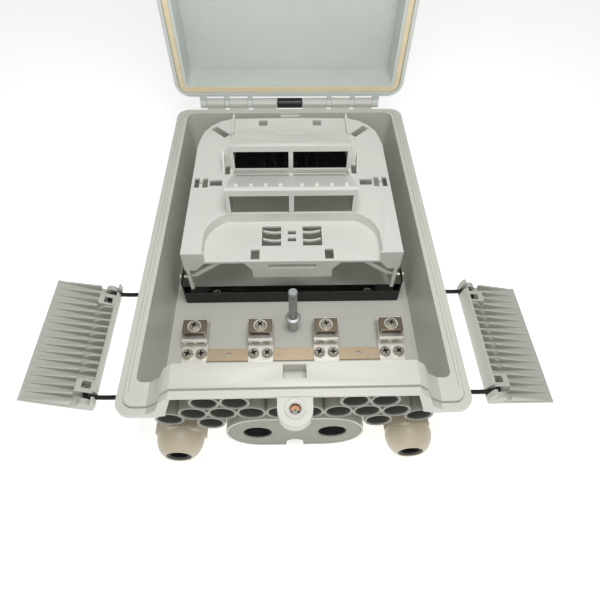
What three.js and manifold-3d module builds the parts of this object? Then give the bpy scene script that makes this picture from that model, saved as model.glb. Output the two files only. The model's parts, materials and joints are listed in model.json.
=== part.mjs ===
// Wall-mounted fibre termination box, lying on its back with the lid open and both side latches swung out.
// Millimetres, +Z up. The origin is the centre of the base's flat back; -Y is the cable entry end and
// +Y the hinge end.

import * as THREE from 'three';
import { mergeVertices } from 'three/addons/utils/BufferGeometryUtils.js';
import Module from 'manifold-3d';

const wasm = await Module();
wasm.setup();

// ---------- driving dimensions ----------
const BOX_WIDTH = 239;
const BOX_LENGTH = 345;
const RIM_Z = 67;
const LID_TOP_Z = 107;
const FLOOR_T = 3;
const WALL_T = 3.2;
const GAP = 0.3;

const HALF_W = BOX_WIDTH / 2;
const HALF_L = BOX_LENGTH / 2;
const RIM_WIDTH = 11.7;
const END_RIM_WIDTH = 9.7;
const RIM_LEDGE = 5.6;
const FLANGE_T = 4.5;
const TONGUE_H = 2;
const GROOVE = 1;
const LIP_LINE = { side: 3.2, far: 2, width: 0.8, nearY: -157 };
const INNER_X = HALF_W - RIM_WIDTH;
const OUTER_X = INNER_X + WALL_T;
const FAR_INNER_Y = HALF_L - END_RIM_WIDTH;
const NEAR_INNER_Y = -149.8;
const NEAR_OUTER_Y = NEAR_INNER_Y - WALL_T;

// The hood is the raised middle of the entry end that shelters the ports.
const HOOD_RISE = 26;
const HOOD_FOOT_X = 98;
const HOOD_TOP_X = 78;
const HOOD_ROOF_Z = 90.7;
const HOOD_OPEN_FOOT_X = 85;
const HOOD_OPEN_TOP_X = 77;
const POCKET = { width: 15, y0: -161.5, y1: -151.5, floorZ: 85, wall: 2 };

const LUG = { y: -180.2, radius: 11, topZ: 92, thickness: 8, boreRadius: 4.8 };
const INSERT = { radius: 4.5, boreRadius: 3.1, length: 9 };

// Drop-cable ports: a honeycomb of short tubes on each side of the middle.
const PORT_PITCH = 19.3;
const PORT_ROW_RISE = 16.7;
const PORT_ROW_Z = 63.8;
const PORT_OUTER_R = 9.85;
const PORT_BORE_R = 8.25;
const PORT_MOUTH_Y = -170.8;
const PORT_SIDE_SITE = { x: 84.6, z: 55.1 };

const CABLE_PORT = { z: 26.5, width: 100, height: 53, wall: 1.6, mouthY: -171.4, sealY: -171.2 };
const SEAL = { depth: 13, holeX: 27.1, holeRadius: 10.6, notchRadius: 6.5, notchZ: 5 };

const GLAND = { x: 82.5, z: 25, hexAcross: 33, threadRadius: 12.3, boreRadius: 9 };

const HINGE = { y: 179.5, z: 70, radius: 5, pinRadius: 1.7, boreRadius: 2.3 };
const RETAINER_HALF = 13.6;
const BASE_KNUCKLES = [[14, 39.8], [45.2, 64.8], [70.2, 88.8]];
const LID_KNUCKLES = [[40.1, 44.9], [65.1, 69.9], [89.1, 96]];
const LID_OPEN_DEG = 90;

const LID_GAP = 0.6;
const LID_RIM_Z = RIM_Z + LID_GAP;
const LID_FAR_Y = 170.5;
const LID_SKIN = 2.8;
const LID_LIP = 3.6;
const GASKET_WIDTH = 5.4;
const LID_GROOVE = 9.2;

const BRACKET = { halfX: 98, nearY: -38, farY: -20, floorZ: FLOOR_T + GAP, lipZ: 17.8, sheet: 1.5 };
const TRAY_PIVOT = { y: -28, z: 30, pinRadius: 1.9, holeRadius: 2.3 };

const DECK_Z = 71;
const TRAY_T = 2.2;
const TRAY_HALF = 91.5;
const TRAY_NEAR_Y = -37.5;
const RECESS_Z = 61;
const SHELF_Z = 66;
const ROW_HALF = 56;
const ROW_TOP_Z = 97;
const WINDOW = { width: 50.4, z0: DECK_Z, z1: 91, divider: 4.2 };
const ROW_Y = [8.6, 67.5];
const COVER_END_Z = 70;
const COVER_FAR_Y = 128;

const CLAMP_X = [-84.5, -28.2, 28.2, 84.5];
const CLAMP_WIDTH = 21.5;
const STRIP_Z = FLOOR_T + GAP;
const STRIP_T = 1.5;
const FOOT_Z = STRIP_Z + STRIP_T + GAP;
const BRIDGE_Z = 14;
const CLAMP_SHEET = 1.5;
const FOOT_RISER = { lipFrom: -86.4, lipTo: -83.6, lipHeight: 0.9, slotFrom: 1.4, slotTo: 7.8 };
const CLAMP_SCREW_Y = -74.3;
const FOOT_SCREW_Y = -94.6;
const FOOT_SCREW_SPREAD = 5.8;
const SCREW = { headRadius: 4.4, headHeight: 2.5, shankRadius: 1.8, holeRadius: 2.4 };

const POST = { x: 0, y: -66.8, radius: 3, topZ: 55, collarZ: 19.5, collarRadius: 6.4 };

// Side latches: a wire link pair pivots low on the base side and carries the long ribbed lever.
const LATCH_Y = -83;
const LINK_PIVOT = { x: 116.5, z: 16.5 };
const LEVER_PIVOT = { x: 49.8, z: -7 };
const LINK_ARM_Y = 50.75;
const LINK_R = 1.95;
const LINK_BORE_R = 2.4;
const LINK_STUB = 7.5;
const LEVER = { halfY: 58, width: 46, pivotHeight: 9, ridgeHeight: 17, skin: 2.2, ribs: 17 };
const BLADE = { end: 9, height: 9.6, archFoot: 4.5, archTop: 12 };
const LEFT_LINK_RAISE_DEG = 2.3;
const LEFT_LEVER_TIP_DEG = 22.7;

// ---------- materials ----------
const material = (color, roughness, metalness = 0) =>
  new THREE.MeshStandardMaterial({ color, roughness, metalness });
const BODY_GREY = () => material('#d6d7d0', 0.5);
const TRAY_GREY = () => material('#c9ccc8', 0.5);
const PORT_GREY = () => material('#a9aaa5', 0.55);
const SEAL_GREY = () => material('#9c9d94', 0.75);
const GLAND_IVORY = () => material('#c9c0ab', 0.5);
const CREAM_FOAM = () => material('#e2d3b6', 0.9);
const BLACK_PLASTIC = () => material('#17181b', 0.45);
const BLACK_WIRE = () => material('#101010', 0.4, 0.6);
const BRIGHT_STEEL = () => material('#c4c0b8', 0.25, 1);
const DARK_STEEL = () => material('#5a5c5c', 0.15, 1);
const TINNED_BRASS = () => material('#b59f82', 0.35, 1);
const COPPER = () => material('#b06a3c', 0.35, 1);

// ---------- solids ----------
function solid(geometry) {
  const bare = geometry.clone();
  bare.deleteAttribute('normal');
  bare.deleteAttribute('uv');
  const merged = mergeVertices(bare, 1e-4);
  return new wasm.Manifold(new wasm.Mesh({
    numProp: 3,
    vertProperties: new Float32Array(merged.attributes.position.array),
    triVerts: new Uint32Array(merged.index.array),
  }));
}

function geometryOf(body) {
  const mesh = body.getMesh();
  const geometry = new THREE.BufferGeometry();
  geometry.setAttribute('position', new THREE.BufferAttribute(new Float32Array(mesh.vertProperties), 3));
  geometry.setIndex(new THREE.BufferAttribute(new Uint32Array(mesh.triVerts), 1));
  geometry.computeVertexNormals();
  return geometry;
}

const join = (...bodies) => bodies.reduce((whole, body) => whole.add(body));
const cut = (body, ...tools) => tools.reduce((whole, tool) => whole.subtract(tool), body);

function part(name, body, look) {
  const mesh = new THREE.Mesh(geometryOf(body.asOriginal().simplify(0.002)), look);
  mesh.name = name;
  return mesh;
}

function block(x0, x1, y0, y1, z0, z1) {
  const box = new THREE.BoxGeometry(x1 - x0, y1 - y0, z1 - z0);
  return solid(box.translate((x0 + x1) / 2, (y0 + y1) / 2, (z0 + z1) / 2));
}

// The two ends of a range in rising order, for a range mirrored by a sign.
const span = (a, b) => [Math.min(a, b), Math.max(a, b)];

// Both signs of x, as one block on each side.
const blocksBothSides = (x0, x1, ...rest) => join(block(x0, x1, ...rest), block(-x1, -x0, ...rest));

function rodZ(x, y, radius, z0, z1, sides = 12) {
  const rod = new THREE.CylinderGeometry(radius, radius, z1 - z0, sides);
  return solid(rod.rotateX(Math.PI / 2).translate(x, y, (z0 + z1) / 2));
}

function rodY(x, z, radius, y0, y1, sides = 12) {
  const rod = new THREE.CylinderGeometry(radius, radius, y1 - y0, sides);
  return solid(rod.rotateY(Math.PI / 2).translate(x, (y0 + y1) / 2, z));
}

function rodX(y, z, radius, x0, x1, sides = 12) {
  const rod = new THREE.CylinderGeometry(radius, radius, x1 - x0, sides);
  return solid(rod.rotateZ(Math.PI / 2).translate((x0 + x1) / 2, y, z));
}

function outline(points) {
  return new THREE.Shape(points.map(([a, b]) => new THREE.Vector2(a, b)));
}

// A flat shape drawn in XY, raised from z0 to z1.
function prismZ(shape, z0, z1, curveSegments = 3) {
  const bar = new THREE.ExtrudeGeometry(shape, { depth: z1 - z0, bevelEnabled: false, curveSegments });
  return solid(bar.translate(0, 0, z0));
}

// A flat shape drawn in XZ, running from y0 to y1.
function prismY(shape, y0, y1, curveSegments = 3) {
  const bar = new THREE.ExtrudeGeometry(shape, { depth: y1 - y0, bevelEnabled: false, curveSegments });
  return solid(bar.rotateX(Math.PI / 2).translate(0, y1, 0));
}

// A flat shape drawn in YZ, running from x0 to x1.
function prismX(shape, x0, x1, curveSegments = 3) {
  const bar = new THREE.ExtrudeGeometry(shape, { depth: x1 - x0, bevelEnabled: false, curveSegments });
  const turn = new THREE.Matrix4().makeBasis(
    new THREE.Vector3(0, 1, 0), new THREE.Vector3(0, 0, 1), new THREE.Vector3(1, 0, 0));
  return solid(bar.applyMatrix4(turn).translate(x0, 0, 0));
}

// A rectangle with its near corners rounded by nearR and its far corners by farR.
function roundedRect(halfX, y0, y1, nearR, farR = nearR) {
  const shape = new THREE.Shape();
  shape.absarc(-halfX + nearR, y0 + nearR, nearR, Math.PI, 1.5 * Math.PI);
  shape.absarc(halfX - nearR, y0 + nearR, nearR, 1.5 * Math.PI, 2 * Math.PI);
  shape.absarc(halfX - farR, y1 - farR, farR, 0, 0.5 * Math.PI);
  shape.absarc(-halfX + farR, y1 - farR, farR, 0.5 * Math.PI, Math.PI);
  return shape;
}

// A racetrack shape in XZ, width by height, centred on x = 0.
function racetrack(width, height, z) {
  const radius = height / 2;
  const reach = width / 2 - radius;
  const shape = new THREE.Shape();
  shape.absarc(reach, z, radius, -0.5 * Math.PI, 0.5 * Math.PI);
  shape.absarc(-reach, z, radius, 0.5 * Math.PI, 1.5 * Math.PI);
  return shape;
}

// The arch over the ports in XZ, from baseZ up to the rim line raised by lift.
function arch(halfX, baseZ, lift) {
  const low = RIM_Z + lift;
  const high = low + HOOD_RISE;
  const shape = new THREE.Shape();
  shape.moveTo(-halfX, baseZ);
  shape.lineTo(halfX, baseZ);
  shape.lineTo(halfX, low);
  shape.lineTo(HOOD_FOOT_X, low);
  shape.bezierCurveTo(HOOD_FOOT_X - 11, low, HOOD_TOP_X + 9, high, HOOD_TOP_X, high);
  shape.lineTo(-HOOD_TOP_X, high);
  shape.bezierCurveTo(-HOOD_TOP_X - 9, high, -HOOD_FOOT_X + 11, low, -HOOD_FOOT_X, low);
  shape.lineTo(-halfX, low);
  return shape;
}

// ---------- base ----------
function portSites(side) {
  const sites = [];
  for (const step of [2, 3]) sites.push([step * PORT_PITCH, PORT_ROW_Z + PORT_ROW_RISE]);
  for (const step of [0.5, 1.5, 2.5, 3.5]) sites.push([step * PORT_PITCH, PORT_ROW_Z]);
  sites.push([3 * PORT_PITCH, PORT_ROW_Z - PORT_ROW_RISE]);
  sites.push([PORT_SIDE_SITE.x, PORT_SIDE_SITE.z]);
  return sites.map(([x, z]) => [side * x, z]);
}

// The opening in the end wall, on one side, that the port block fills; shrink pulls its edges in.
function portWindow(side, shrink) {
  const s = shrink;
  const points = [
    [s / 2, 54.3 + s], [47.5 + s, 54.3 + s], [47.5 + s, 36.8 + s], [68 - s, 36.8 + s], [73 - s, 44.2 + s],
    [95 - s, 44.2 + s], [95 - s, RIM_Z - 2.2 - s], [HOOD_OPEN_FOOT_X - s, RIM_Z - 1 - s],
    [HOOD_OPEN_TOP_X - s, HOOD_ROOF_Z - s], [10 + s, HOOD_ROOF_Z - s], [10 + s, 82.5 - s], [s / 2, 82.5 - s],
  ];
  return outline(points.map(([x, z]) => [side * x, z]));
}

function linkEars() {
  const ears = [];
  for (const side of [-1, 1]) {
    for (const end of [-1, 1]) {
      const y = LATCH_Y + end * 46.5;
      const reach = span(side * (OUTER_X - 0.5), side * (LINK_PIVOT.x + 3));
      ears.push(block(...reach, y - 2, y + 2, LINK_PIVOT.z - 5, LINK_PIVOT.z + 5));
    }
  }
  const bores = [-1, 1].map((side) =>
    rodY(side * LINK_PIVOT.x, LINK_PIVOT.z, LINK_BORE_R, LATCH_Y - 50, LATCH_Y + 50, 8));
  return { ears: join(...ears), bores };
}

// The narrow channels of the rim: one round the foot of the tongue, one along the tongue's top.
function rimGrooves(ledgeX, ledgeY) {
  const { side, far, width, nearY } = LIP_LINE;
  const foot = cut(
    prismZ(roundedRect(ledgeX + GROOVE, -ledgeY - GROOVE, ledgeY + GROOVE, 8, 10), RIM_Z - GROOVE, RIM_Z + 1),
    prismZ(roundedRect(ledgeX, -ledgeY, ledgeY, 7, 9), RIM_Z - 5, RIM_Z + 5),
    block(-HOOD_FOOT_X, HOOD_FOOT_X, -HALF_L - 1, 0, RIM_Z - 5, RIM_Z + 5));
  const overHood = cut(
    prismY(arch(HOOD_FOOT_X + 1, RIM_Z - 3, GAP), -ledgeY - GROOVE, -ledgeY),
    prismY(arch(HOOD_FOOT_X + 2, RIM_Z - 4, -GROOVE), -HALF_L, -ledgeY + 1));
  const onTongue = cut(
    prismZ(roundedRect(INNER_X + side + width, nearY, FAR_INNER_Y + far + width, 1, 9), RIM_Z + 1, RIM_Z + 5),
    prismZ(roundedRect(INNER_X + side, nearY - 1, FAR_INNER_Y + far, 1, 8.2), RIM_Z, RIM_Z + 6));
  return [foot, overHood, onTongue];
}

function baseShell() {
  const ledgeX = HALF_W - RIM_LEDGE;
  const ledgeY = HALF_L - RIM_LEDGE;
  const tub = prismZ(roundedRect(OUTER_X, NEAR_OUTER_Y, FAR_INNER_Y + WALL_T, 9), 0, RIM_Z);
  const flange = prismZ(roundedRect(HALF_W, -HALF_L, HALF_L, 10, 12), RIM_Z - FLANGE_T, RIM_Z);
  const tongue = prismZ(roundedRect(ledgeX, -ledgeY, ledgeY, 7, 9), RIM_Z - 1, RIM_Z + TONGUE_H);
  const hood = prismY(arch(HOOD_FOOT_X + 2, RIM_Z - FLANGE_T, 0), -HALF_L, NEAR_INNER_Y);
  const plateau = prismY(arch(HOOD_FOOT_X + 2, RIM_Z - FLANGE_T, TONGUE_H), -ledgeY, NEAR_INNER_Y);
  const lug = join(
    rodZ(0, LUG.y, LUG.radius, LUG.topZ - LUG.thickness, LUG.topZ, 20),
    block(-LUG.radius, LUG.radius, LUG.y, -HALF_L + 1, LUG.topZ - LUG.thickness, LUG.topZ));
  const knuckles = [];
  for (const [x0, x1] of BASE_KNUCKLES) {
    for (const [a, b] of [[x0, x1], [-x1, -x0]]) {
      knuckles.push(rodX(HINGE.y, HINGE.z, HINGE.radius, a, b, 10));
      knuckles.push(block(a, b, HALF_L - 2, HINGE.y + 1, RIM_Z - FLANGE_T, RIM_Z));
    }
  }
  const pocketCup = block(-POCKET.width / 2 - POCKET.wall, POCKET.width / 2 + POCKET.wall,
    POCKET.y0 - POCKET.wall, NEAR_INNER_Y, POCKET.floorZ - POCKET.wall, RIM_Z + HOOD_RISE);
  const farPad = block(-10, 10, FAR_INNER_Y - 3, FAR_INNER_Y + 1, 56, RIM_Z - 1);
  const { ears, bores } = linkEars();

  const cavity = prismZ(roundedRect(INNER_X, NEAR_INNER_Y, FAR_INNER_Y, 5, 8), FLOOR_T, 120);
  const underHood = prismY(outline([
    [-HOOD_OPEN_FOOT_X, RIM_Z - FLANGE_T - 1], [HOOD_OPEN_FOOT_X, RIM_Z - FLANGE_T - 1],
    [HOOD_OPEN_FOOT_X, RIM_Z], [HOOD_OPEN_TOP_X, HOOD_ROOF_Z],
    [-HOOD_OPEN_TOP_X, HOOD_ROOF_Z], [-HOOD_OPEN_FOOT_X, RIM_Z],
  ]), -HALF_L - 1, NEAR_OUTER_Y);
  const pocket = block(-POCKET.width / 2, POCKET.width / 2, POCKET.y0, POCKET.y1, POCKET.floorZ, 120);
  const lugBore = rodZ(0, LUG.y, LUG.boreRadius, LUG.topZ - LUG.thickness - 1, LUG.topZ + 1);
  const hingeBore = rodX(HINGE.y, HINGE.z, HINGE.boreRadius, -100, 100, 6);
  const cablePort = prismY(racetrack(CABLE_PORT.width - 12, CABLE_PORT.height - 12, CABLE_PORT.z),
    NEAR_OUTER_Y - 1, NEAR_INNER_Y + 1);
  const entries = [];
  const relief = [];
  for (const side of [-1, 1]) {
    const threadHole = GLAND.threadRadius + GAP;
    entries.push(rodY(side * GLAND.x, GLAND.z, threadHole, NEAR_OUTER_Y - 1, NEAR_INNER_Y + 1, 16));
    entries.push(prismY(portWindow(side, 0), NEAR_OUTER_Y - 1, NEAR_INNER_Y + 1));
    const { x, z } = PORT_SIDE_SITE;
    relief.push(rodY(side * x, z, PORT_OUTER_R + GAP, -HALF_L - 1, NEAR_OUTER_Y));
  }

  const outside = cut(join(tub, flange, tongue, hood, plateau), underHood, cavity,
    ...rimGrooves(ledgeX, ledgeY));
  const fitted = join(outside, lug, ears, pocketCup, farPad, ...knuckles);
  return cut(fitted, pocket, lugBore, hingeBore, cablePort, ...bores, ...entries, ...relief);
}

function dropPorts(side) {
  const sites = portSites(side);
  const tubes = sites.map(([x, z]) => rodY(x, z, PORT_OUTER_R, PORT_MOUTH_Y, NEAR_OUTER_Y - GAP));
  const back = prismY(portWindow(side, GAP), NEAR_OUTER_Y - GAP - 0.5, NEAR_INNER_Y);
  const bores = sites.map(([x, z]) => rodY(x, z, PORT_BORE_R, PORT_MOUTH_Y - 1, NEAR_INNER_Y + 1));
  const pastMiddle = span(side * GAP / 2, side * -20);
  const otherSide = block(...pastMiddle, PORT_MOUTH_Y - 1, NEAR_INNER_Y + 1, 40, 100);
  return cut(join(back, ...tubes), ...bores, otherSide);
}

// The round-topped notch at the foot of the cable port.
function entryNotch(y0, y1) {
  const { notchRadius, notchZ } = SEAL;
  return join(block(-notchRadius, notchRadius, y0, y1, -1, notchZ), rodY(0, notchZ, notchRadius, y0, y1));
}

function cablePortCollar() {
  const { width, height, wall, z, mouthY } = CABLE_PORT;
  return cut(
    prismY(racetrack(width, height, z), mouthY, NEAR_OUTER_Y - GAP, 6),
    prismY(racetrack(width - 2 * wall, height - 2 * wall, z), mouthY - 1, NEAR_OUTER_Y, 6),
    entryNotch(mouthY - 1, NEAR_OUTER_Y - 5));
}

function cablePortSeal() {
  const inset = 2 * CABLE_PORT.wall + 2 * GAP;
  const back = CABLE_PORT.sealY + SEAL.depth;
  const plate = prismY(racetrack(CABLE_PORT.width - inset, CABLE_PORT.height - inset, CABLE_PORT.z),
    CABLE_PORT.sealY, back, 6);
  const holes = [-1, 1].map((side) =>
    rodY(side * SEAL.holeX, CABLE_PORT.z, SEAL.holeRadius, CABLE_PORT.sealY - 1, back + 1, 14));
  return cut(plate, ...holes, entryNotch(CABLE_PORT.sealY - 1, CABLE_PORT.sealY + 8));
}

function lugInsert() {
  const z1 = LUG.topZ - 0.6;
  return cut(
    rodZ(0, LUG.y, INSERT.radius, z1 - INSERT.length, z1),
    rodZ(0, LUG.y, INSERT.boreRadius, z1 - INSERT.length - 1, z1 + 1));
}

// ---------- cable glands ----------
const hexRadius = (across) => across / 2 / Math.cos(Math.PI / 6);

function glandParts(side) {
  const x = side * GLAND.x;
  const z = GLAND.z;
  const ring = (radius, y0, y1, sides = 12) => rodY(x, z, radius, y0, y1, sides);
  const wallY = NEAR_OUTER_Y - GAP;
  const hexY = wallY - 7.5;
  const neckY = hexY - 8;
  const capY = hexY - GAP;
  const domeY = capY - 12.5;
  const mouthY = -187;
  const domeProfile = [
    [0, 0], [16.5, 0], [16.2, 4], [14.6, 8],
    [12.2, domeY - mouthY - 0.6], [11, domeY - mouthY], [0, domeY - mouthY],
  ].map(([r, h]) => new THREE.Vector2(r, h));
  const dome = solid(new THREE.LatheGeometry(domeProfile, 12).rotateX(Math.PI).translate(x, domeY, z));

  const body = cut(
    join(
      ring(hexRadius(GLAND.hexAcross), hexY, wallY, 6),
      ring(GLAND.threadRadius, hexY - 0.1, NEAR_INNER_Y + 9),
      ring(12.5, neckY, hexY + 1)),
    ring(GLAND.boreRadius, neckY - 1, NEAR_INNER_Y + 10));
  const cap = cut(
    join(ring(hexRadius(GLAND.hexAcross) - 0.4, domeY - 0.5, capY, 6), dome),
    ring(13.2, neckY - 1, capY + 1),
    ring(10.9, -183, capY + 1),
    ring(8.6, mouthY - 1, capY));
  const seal = cut(
    ring(10.5, -182.6, neckY - 1 - GAP),
    ring(7.6, -184, neckY));
  const nut = cut(
    ring(hexRadius(30), NEAR_INNER_Y + GAP, NEAR_INNER_Y + 5.5, 6),
    ring(GLAND.threadRadius + GAP, NEAR_INNER_Y, NEAR_INNER_Y + 6));
  return { body, cap, seal, nut };
}

// ---------- clamps, strip and post on the base floor ----------
function clampFoot(x) {
  const rearY = -62.5;
  const profile = outline([
    [-103, FOOT_Z], [-83, FOOT_Z],
    [-83, BRIDGE_Z - CLAMP_SHEET], [rearY - CLAMP_SHEET, BRIDGE_Z - CLAMP_SHEET],
    [rearY - CLAMP_SHEET, STRIP_Z], [rearY, STRIP_Z], [rearY, BRIDGE_Z], [-83 - CLAMP_SHEET, BRIDGE_Z],
    [-83 - CLAMP_SHEET, FOOT_Z + CLAMP_SHEET], [-103, FOOT_Z + CLAMP_SHEET],
  ]);
  const holes = [-1, 1].map((side) =>
    rodZ(x + side * FOOT_SCREW_SPREAD, FOOT_SCREW_Y, SCREW.holeRadius, 0, BRIDGE_Z - 3, 6));
  const { lipFrom, lipTo, lipHeight, slotFrom, slotTo } = FOOT_RISER;
  const half = CLAMP_WIDTH / 2;
  const lip = block(x - half, x + half, lipFrom, lipTo, BRIDGE_Z - CLAMP_SHEET, BRIDGE_Z + lipHeight);
  const slots = [-1, 1].map((side) => block(...span(side * slotFrom, side * slotTo), lipFrom, -82,
    FOOT_Z + CLAMP_SHEET + 1, BRIDGE_Z - CLAMP_SHEET - 1).translate([x, 0, 0]));
  return cut(
    join(prismX(profile, x - half, x + half), lip),
    rodZ(x, CLAMP_SCREW_Y, SCREW.holeRadius, BRIDGE_Z - 3, BRIDGE_Z + 3, 6),
    ...holes, ...slots);
}

function clampCap(x) {
  const half = 10;
  const top = 20;
  const profile = outline([
    [x - half, BRIDGE_Z + GAP], [x - half + 1.8, BRIDGE_Z + GAP], [x - half + 1.8, top - 1.8],
    [x + half - 1.8, top - 1.8], [x + half - 1.8, BRIDGE_Z + GAP], [x + half, BRIDGE_Z + GAP],
    [x + half, top], [x - half, top],
  ]);
  return cut(
    prismY(profile, -80.8, -67.6),
    rodZ(x, CLAMP_SCREW_Y, SCREW.holeRadius, top - 3, top + 1, 6));
}

function screwDown(x, y, seatZ, tipZ) {
  return join(
    rodZ(x, y, SCREW.headRadius, seatZ + GAP, seatZ + GAP + SCREW.headHeight),
    rodZ(x, y, SCREW.shankRadius, tipZ, seatZ + GAP + 0.5, 6));
}

function fixingStrip() {
  const holes = [];
  for (const x of CLAMP_X) {
    for (const side of [-1, 1]) {
      holes.push(rodZ(x + side * FOOT_SCREW_SPREAD, FOOT_SCREW_Y, SCREW.holeRadius, 0, 10, 6));
    }
  }
  for (const x of [-56, 56]) holes.push(rodZ(x, -94, 2.2, 0, 10, 6));
  return cut(block(-92, 92, -100, -88.2, STRIP_Z, STRIP_Z + STRIP_T), ...holes);
}

function anchorPost() {
  const profile = [
    [0, FLOOR_T + GAP], [3.6, FLOOR_T + GAP], [2.6, 14], [POST.radius, POST.collarZ - 1],
    [POST.collarRadius, POST.collarZ], [POST.collarRadius, POST.collarZ + 1.6],
    [POST.radius, POST.collarZ + 2.4],
    [POST.radius, POST.topZ], [0, POST.topZ],
  ].map(([r, h]) => new THREE.Vector2(r, h));
  return solid(new THREE.LatheGeometry(profile, 12).rotateX(Math.PI / 2).translate(POST.x, POST.y, 0));
}

// ---------- tray bracket and adapter tray ----------
function trayBracket() {
  const { halfX, nearY, farY, floorZ, lipZ, sheet } = BRACKET;
  const earX0 = halfX - sheet;
  const plate = block(-halfX, halfX, nearY, farY, floorZ, floorZ + sheet);
  const lip = block(-halfX, halfX, nearY, nearY + sheet, floorZ, lipZ);
  const ears = blocksBothSides(earX0, halfX, nearY, farY, floorZ, TRAY_PIVOT.z + 4);
  const holes = [-1, 1].map((side) => rodZ(side * 70.5, -30, SCREW.holeRadius, 0, 10, 6));
  const pivotHole = rodX(TRAY_PIVOT.y, TRAY_PIVOT.z, TRAY_PIVOT.holeRadius, -110, 110, 8);
  return cut(join(plate, lip, ears), ...holes, pivotHole);
}

function trayPin(side) {
  const inner = side * 86;
  const seat = side * (BRACKET.halfX + GAP);
  const outer = side * (BRACKET.halfX + 2.3);
  const pin = rodX(TRAY_PIVOT.y, TRAY_PIVOT.z, TRAY_PIVOT.pinRadius, ...span(inner, outer), 8);
  const head = rodX(TRAY_PIVOT.y, TRAY_PIVOT.z, 3.6, Math.min(seat, outer), Math.max(seat, outer));
  return join(pin, head);
}

// Plan of the tray's right half as seen from above, from the near edge round to the far middle.
function deckHalf() {
  return [
    [TRAY_HALF, TRAY_NEAR_Y], [TRAY_HALF, 104], [90, 114], [87, 127], [80, 137.5], [71.5, 144.5], [60.5, 149],
    [0, 150.5],
  ];
}

// Inner edge of the right wing where the front recess curves in towards the adapter row.
function recessHalf() {
  return [
    [74.5, TRAY_NEAR_Y], [74.5, -14], [72, -6], [67.5, 0.5], [60.5, 6.5], [ROW_HALF, ROW_Y[0]],
  ];
}

const mirrored = (points) => points.map(([x, y]) => [-x, y]).reverse();

function rowWindows(y) {
  const half = WINDOW.divider / 2;
  return blocksBothSides(half, half + WINDOW.width, y - 3, y + 4, WINDOW.z0, WINDOW.z1);
}

function stairSection() {
  // Section in YZ of the two adapter rows with their sloping covers.
  const [front, far] = ROW_Y;
  const t = TRAY_T;
  const slopeDrop = 3;
  const shelfY = far - 10;
  return outline([
    [front, RECESS_Z - t], [front + t, RECESS_Z - t], [front + t, ROW_TOP_Z - slopeDrop - 1],
    [shelfY, COVER_END_Z - 4], [shelfY, SHELF_Z - t], [far + t, SHELF_Z - t],
    [far + t, ROW_TOP_Z - slopeDrop - 1],
    [COVER_FAR_Y, DECK_Z - t], [COVER_FAR_Y, DECK_Z], [far + t + 2, ROW_TOP_Z], [far, ROW_TOP_Z],
    [far, SHELF_Z], [shelfY + t, SHELF_Z], [shelfY + t, COVER_END_Z],
    [front + t + 2, ROW_TOP_Z], [front, ROW_TOP_Z],
  ]);
}

function cheek(y0, y1, footZ) {
  return prismX(outline([
    [y0, footZ], [y1, footZ], [y1, footZ + 2], [y0 + TRAY_T, ROW_TOP_Z - 1], [y0, ROW_TOP_Z]]),
    ROW_HALF - 2, ROW_HALF);
}

const onBothSides = (bodyOf) => join(bodyOf(1), bodyOf(-1));

function sideSlots(side) {
  const between = (x0, x1, y0, y1) => block(...span(side * x0, side * x1), y0, y1, 60, 80);
  const corners = [[81, 131.5], [75.5, 136.7], [60.5, 122.4], [66, 117.2]];
  const diagonal = prismZ(outline(corners.map(([x, y]) => [side * x, y])), 60, 80);
  return join(
    between(84.2, 89, 43, 56), between(76.6, 81.5, 43, 56), between(81.4, 84.4, 48.5, 50.5),
    between(63.5, 75, 45.3, 53.3), between(57.2, 62, 61, 74), between(23.5, 32.3, 137, 146.5), diagonal);
}

function frontSlots(side) {
  const between = (x0, x1, y0, y1) => block(...span(side * x0, side * x1), y0, y1, 55, 66);
  return join(between(27.6, 35, -35, -24), between(9.4, 26, -20, 3));
}

function fingers(side) {
  const rows = [-13.5, -4];
  return join(...rows.map((y) => {
    const bend = new THREE.Shape();
    bend.moveTo(side * 8, y);
    bend.quadraticCurveTo(side * 17, y - 2.6, side * 25, y + 1.4);
    bend.lineTo(side * 25, y + 2.8);
    bend.quadraticCurveTo(side * 17, y - 1, side * 8, y + 1.5);
    return prismZ(bend, RECESS_Z - TRAY_T, RECESS_Z, 5);
  }));
}

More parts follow.
